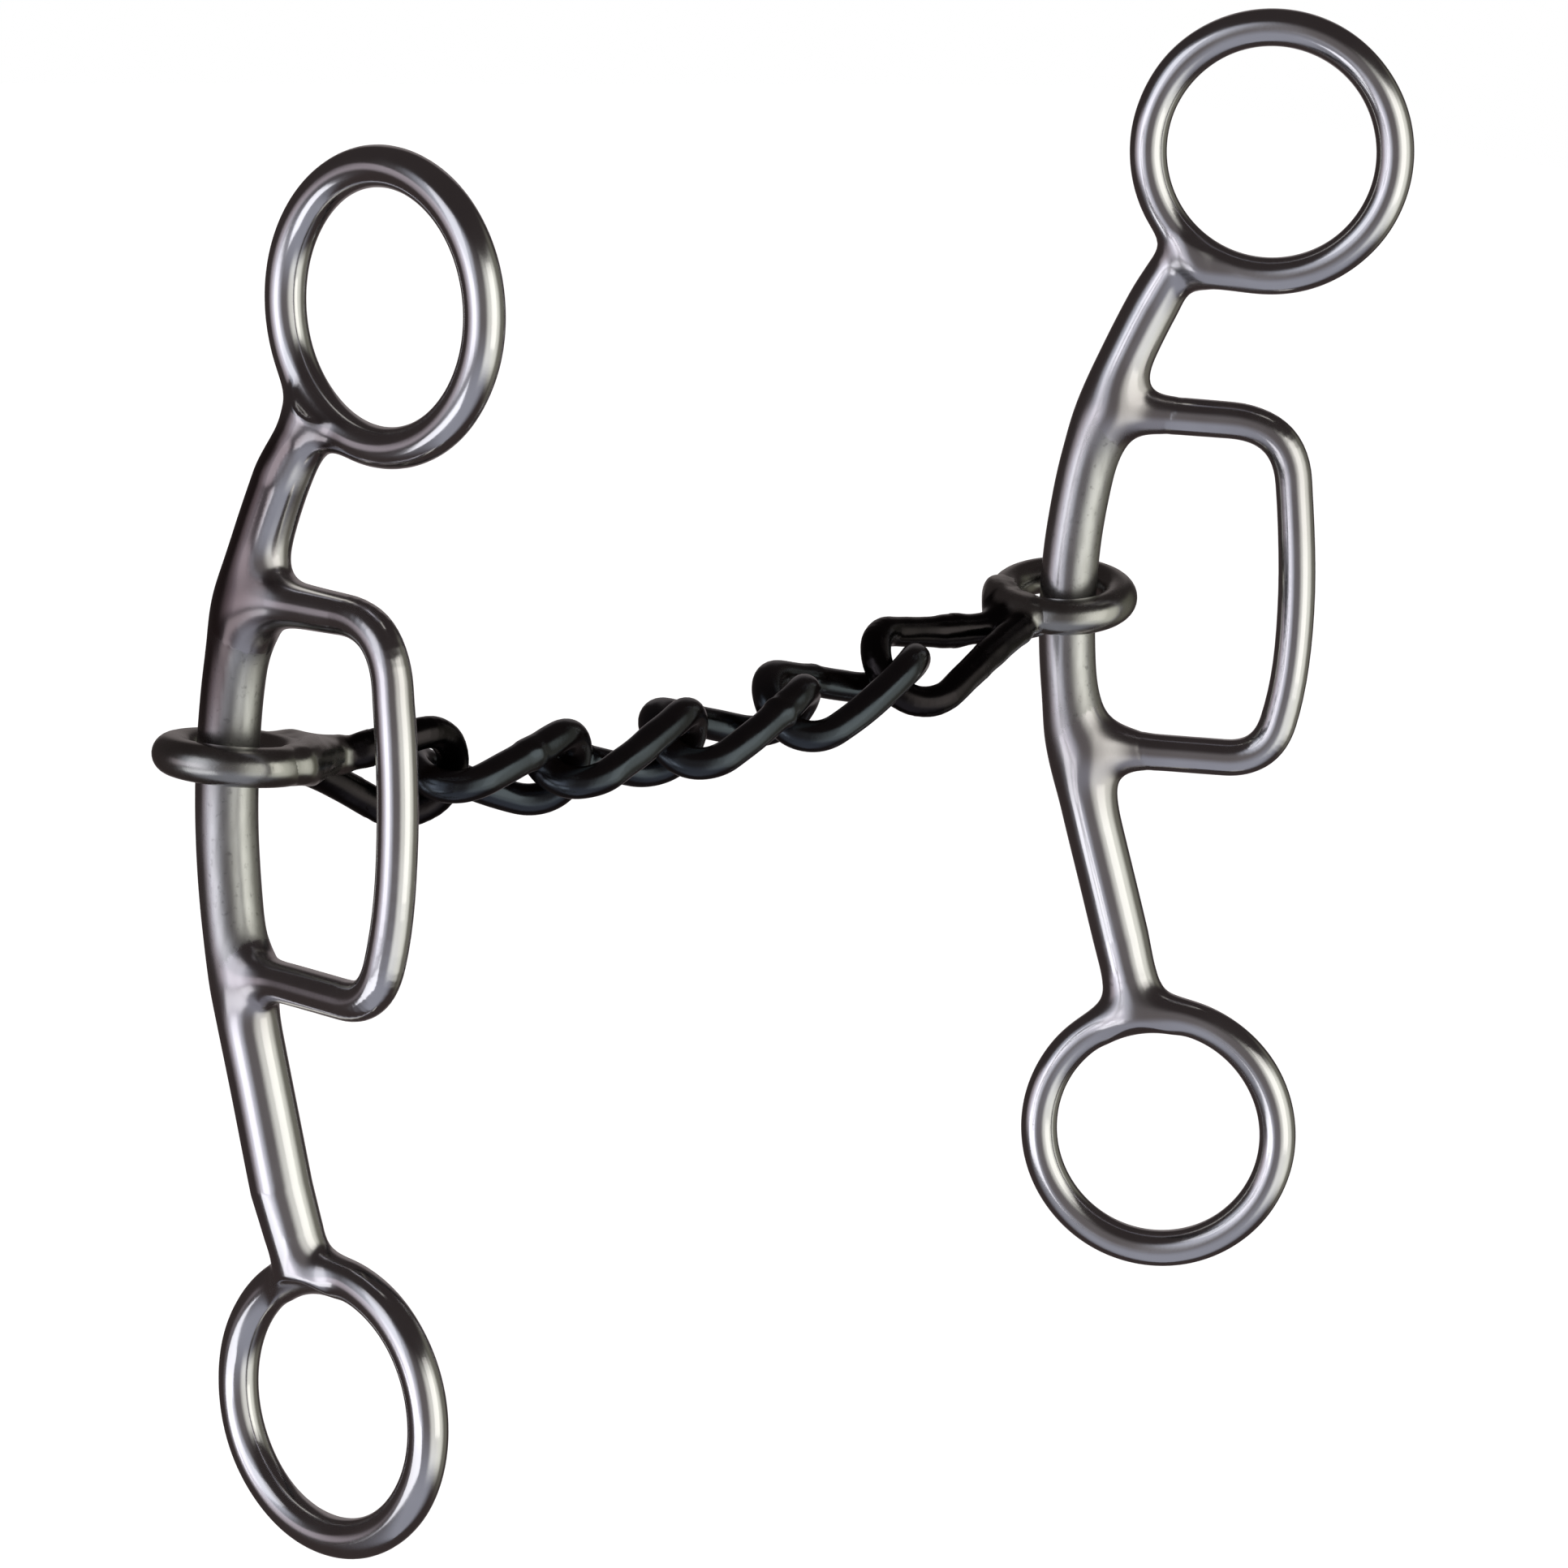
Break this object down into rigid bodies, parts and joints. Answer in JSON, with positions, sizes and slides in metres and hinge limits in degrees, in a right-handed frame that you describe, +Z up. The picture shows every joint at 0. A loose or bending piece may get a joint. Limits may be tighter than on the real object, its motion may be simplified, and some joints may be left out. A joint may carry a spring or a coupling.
{
  "type": "curb bit",
  "caption": "Curb bit with loose gag cheeks that slide and swivel in the eyes of a twisted-chain mouthpiece, with headstall rings, rein rings and D loops.",
  "frame": {"origin": "centre of the left cheek's headstall ring, from which the bit hangs", "axes": "+Z up along the cheeks, +X from the left cheek to the right one along the mouthpiece, the D loops towards -Y"},
  "size_m": [0.1678, 0.0483, 0.1831],
  "materials": {
    "cheek_steel": "polished stainless steel, softly brushed at the welds",
    "eye_steel": "darkened steel, satin",
    "chain_steel": "black steel, glossy"
  },
  "bodies": {
    "left_cheek": {"left_cheek_bar": "cheek_steel", "left_headstall_ring": "cheek_steel", "left_rein_ring": "cheek_steel", "left_d_loop": "cheek_steel"},
    "left_eye": {"left_eye": "eye_steel"},
    "left_end": {"left_eye_neck": "eye_steel", "left_end_link": "chain_steel"},
    "link_1": {"chain_link_1": "chain_steel"},
    "link_2": {"chain_link_2": "chain_steel"},
    "link_3": {"chain_link_3": "chain_steel"},
    "link_4": {"chain_link_4": "chain_steel"},
    "right_end": {"right_end_link": "chain_steel", "right_eye_neck": "eye_steel"},
    "right_eye": {"right_eye": "eye_steel"},
    "right_cheek": {"right_cheek_bar": "cheek_steel", "right_headstall_ring": "cheek_steel", "right_rein_ring": "cheek_steel", "right_d_loop": "cheek_steel"}
  },
  "joints": [
    {"name": "left_slide", "type": "hinge", "parent": "left_cheek", "child": "left_eye", "pos_m": [0.01039, -0.07003, -0.05509], "axis": [0.9912, 0.1306, 0.0209], "range_deg": [-10, 7]},
    {"name": "left_swivel", "type": "hinge", "parent": "left_eye", "child": "left_end", "pos_m": [-0.0027, 0.01894, -0.05567], "axis": [0.0399, 0.0399, 0.9984], "range_deg": [-60, 120]},
    {"name": "link_1_swing", "type": "hinge", "parent": "left_end", "child": "link_1", "pos_m": [0.02405, 0.01784, -0.05953], "axis": [-0.0468, -0.9552, -0.2923], "range_deg": [-60, 60]},
    {"name": "link_2_swing", "type": "hinge", "parent": "link_1", "child": "link_2", "pos_m": [0.04692, 0.01684, -0.05993], "axis": [0.0039, -0.2928, 0.9562], "range_deg": [-60, 60]},
    {"name": "link_3_swing", "type": "hinge", "parent": "link_2", "child": "link_3", "pos_m": [0.06115, 0.01688, -0.05825], "axis": [-0.1046, 0.7962, 0.596], "range_deg": [-60, 60]},
    {"name": "link_4_swing", "type": "hinge", "parent": "link_3", "child": "link_4", "pos_m": [0.08381, 0.01747, -0.05506], "axis": [0.0954, 0.6045, -0.7909], "range_deg": [-60, 60]},
    {"name": "right_end_swing", "type": "hinge", "parent": "link_4", "child": "right_end", "pos_m": [0.09785, 0.01757, -0.0523], "axis": [0.2127, -0.6279, -0.7486], "range_deg": [-60, 60]},
    {"name": "right_swivel", "type": "hinge", "parent": "right_end", "child": "right_eye", "pos_m": [0.1306, 0.01994, -0.04397], "axis": [-0.1948, -0.1169, 0.9739], "range_deg": [-100, 75]},
    {"name": "right_slide", "type": "hinge", "parent": "right_eye", "child": "right_cheek", "pos_m": [0.1851, -0.05314, -0.04032], "axis": [0.791, 0.6117, -0.0157], "range_deg": [-6.5, 9]}
  ]
}
